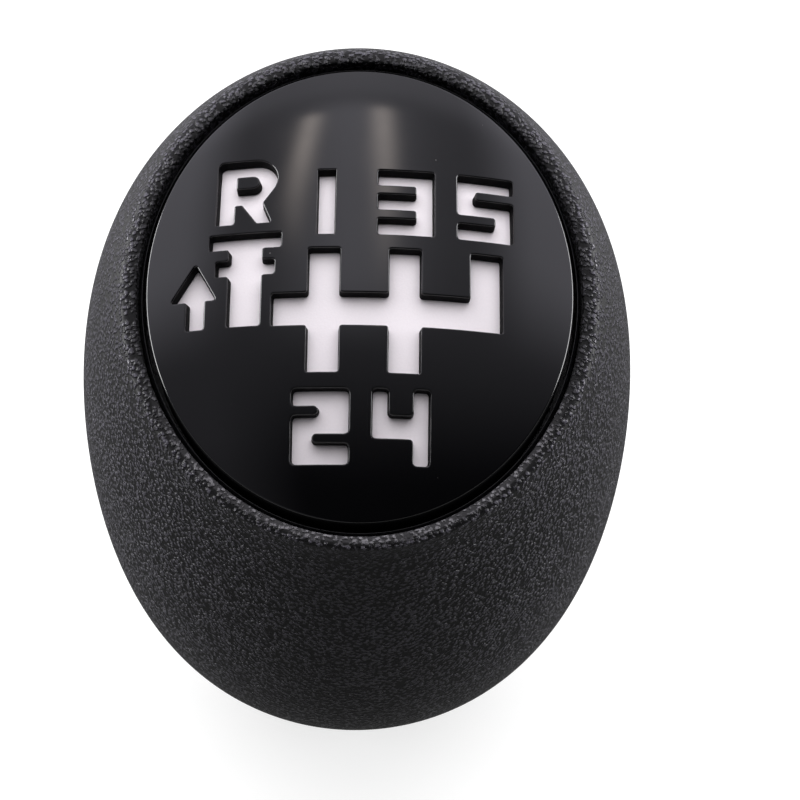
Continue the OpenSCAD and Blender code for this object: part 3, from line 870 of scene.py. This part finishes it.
def make_world():
    """White ground behind the object, in a room that is bright at the back and sides and dim behind the camera.

    Directions are taken as places on a ceiling one unit up: across, and towards the back."""
    world = bpy.data.worlds.new("studio")
    bpy.context.scene.world = world
    t = Tree(world)
    direction = t.node("ShaderNodeTexCoord").outputs["Generated"]
    parts = t.node("ShaderNodeSeparateXYZ", links={"Vector": direction}).outputs
    up = t.maths("MAXIMUM", parts["Z"], 0.12)
    across = t.maths("DIVIDE", parts["X"], up)
    back = t.maths("DIVIDE", parts["Y"], up)

    def bell(value, middle, width):
        off = t.maths("DIVIDE", t.maths("SUBTRACT", value, middle), width)
        return t.maths("POWER", 2.718, t.maths("MULTIPLY", t.maths("MULTIPLY", off, off), -1.0))

    def streak(shape, strength, rise, fall):
        """A band of light that grows over rise, on the way to the back, and ends over fall."""
        grown = t.maths("MULTIPLY", shape, t.spread(back, *rise, 0.0, strength, smooth=True))
        return t.maths("MULTIPLY", grown, t.spread(back, *fall, 1.0, 0.0, smooth=True))

    room = t.spread(back, -0.8, 0.35, 0.02, 0.56, smooth=True)
    room = t.maths("ADD", room, t.spread(back, 0.88, 1.15, 0.0, 0.42, smooth=True))
    aside = t.maths("ABSOLUTE", across)
    side = t.spread(aside, 0.48, 0.88, 0.0, 0.95, smooth=True)
    side = t.maths("MULTIPLY", side, t.spread(back, -0.2, 0.35, 0.0, 1.0, smooth=True))
    glow = t.spread(across, -0.75, -0.3, 0.22, 0.0)
    glow = t.maths("MULTIPLY", glow, t.spread(back, -0.5, -0.1, 1.0, 0.0))
    haze = t.maths("MULTIPLY", bell(across, -0.03, 0.24), t.spread(back, -0.2, 0.1, 0.0, 0.95, smooth=True))
    haze = t.maths("MULTIPLY", haze, t.spread(back, 0.88, 1.05, 1.0, 0.1, smooth=True))
    slant = t.spread(back, 0.4, 0.9, -0.262, -0.207)
    left = bell(t.maths("SUBTRACT", across, slant), 0.0, STREAK_WIDTH)
    left = streak(left, 3.1, (0.1, 0.7), (0.86, 0.93))
    right = streak(bell(across, 0.105, STREAK_WIDTH), 3.0, (-0.1, 0.75), (0.9, 0.97))
    level = t.maths("ADD", t.maths("ADD", room, glow), t.maths("ADD", side, haze))
    streaks = t.maths("ADD", left, right)
    total = t.maths("ADD", level, streaks)
    warm = t.maths("DIVIDE", streaks, t.maths("ADD", total, 0.001))
    tint = t.mixed(warm, (0.97, 0.95, 1.06), (1.06, 0.93, 0.84))
    shown = t.node("ShaderNodeBackground", links={"Strength": total, "Color": tint}).outputs[0]
    path = t.node("ShaderNodeLightPath").outputs
    # 1 straight along the sky's brightest direction, which lies 30 degrees from the zenith towards the back.
    overhead = t.maths("ADD", t.maths("MULTIPLY", parts["Y"], 0.5), t.maths("MULTIPLY", parts["Z"], 0.866))
    soft = t.spread(overhead, 0.4, 1.0, 0.08, SKY, smooth=True)
    soft = t.maths("MAXIMUM", soft, path["Is Camera Ray"])
    sky = t.node("ShaderNodeBackground", {"Color": (1, 1, 1, 1)}, {"Strength": soft}).outputs[0]
    mixed = t.node("ShaderNodeMixShader", links={0: path["Is Glossy Ray"], 1: sky, 2: shown}).outputs[0]
    t.node("ShaderNodeOutputWorld", links={"Surface": mixed})


def lamp(name, place, radiance):
    """Soft box aimed at the middle of the knob, with the given brightness, where 1 looks white."""
    wide, high = 0.4, 0.2
    aim = (0, 0, 0.05)
    light = bpy.data.lights.new(name, "AREA")
    light.shape = "RECTANGLE"
    light.size, light.size_y = wide, high
    light.energy = radiance * math.pi * wide * high
    made = bpy.data.objects.new(name, light)
    bpy.context.collection.objects.link(made)
    made.location = place
    made.rotation_euler = (Vector(aim) - Vector(place)).to_track_quat("-Z", "Y").to_euler()


make_floor()
make_world()
lamp("left", (-0.5, 0.14, 0.11), 12.0)
lamp("right", (0.5, 0.14, 0.11), 11.0)

bpy.context.scene.view_settings.view_transform = "Standard"
